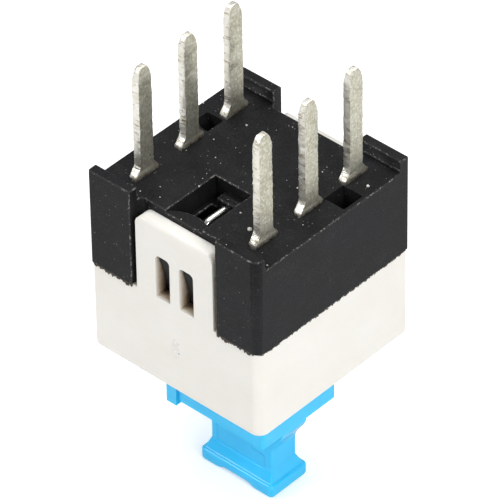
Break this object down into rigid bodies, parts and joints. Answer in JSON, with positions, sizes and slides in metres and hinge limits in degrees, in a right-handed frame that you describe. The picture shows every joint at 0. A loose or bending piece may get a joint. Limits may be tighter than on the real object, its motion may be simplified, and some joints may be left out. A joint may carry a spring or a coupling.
{
  "type": "self locking push switch",
  "caption": "Small square push switch that locks down: black pin base, white clip-on cover with windowed tongues, blue spring plunger, heart-track wire latch and flat solder pins.",
  "frame": {"origin": "centre of the body outline, on the level of the plunger end face", "axes": "+Z from the plunger end to the pin tips, X across the two pin rows, Y along each row, lock pin on the -Y side"},
  "size_m": [0.0086, 0.0086, 0.0197],
  "materials": {
    "black_plastic": "dull black moulded plastic",
    "white_plastic": "warm white moulded plastic",
    "blue_plastic": "bright blue moulded plastic, satin gloss",
    "tinned_metal": "dull tin plate, sheared edges",
    "contact_alloy": "plain spring bronze strip",
    "spring_steel": "bright drawn wire"
  },
  "bodies": {
    "housing": {"insulator_base": "black_plastic", "cover_shell": "white_plastic", "terminal_nc_left": "tinned_metal", "terminal_com_left": "tinned_metal", "terminal_no_left": "tinned_metal", "terminal_nc_right": "tinned_metal", "terminal_com_right": "tinned_metal", "terminal_no_right": "tinned_metal", "return_spring": "spring_steel"},
    "plunger": {"plunger": "blue_plastic", "contact_clip_left": "contact_alloy", "contact_clip_right": "contact_alloy"},
    "lock": {"lock_pin": "spring_steel"}
  },
  "joints": [
    {"name": "plunger_slide", "type": "slide", "parent": "housing", "child": "plunger", "axis": [0, 0, 1], "range_m": [0, 0.0024], "stiffness_N_per_m": 400, "springref_m": -0.0015, "deforming": ["return_spring"]},
    {"name": "lock_swing", "type": "hinge", "parent": "housing", "child": "lock", "pos_m": [0, -0.0015, 0.01368], "axis": [0, -1, 0], "range_deg": [0, 15]}
  ],
  "couplings": [
    {"joint": "lock_swing", "follows": "plunger_slide", "rad_per_m": 105.9}
  ]
}
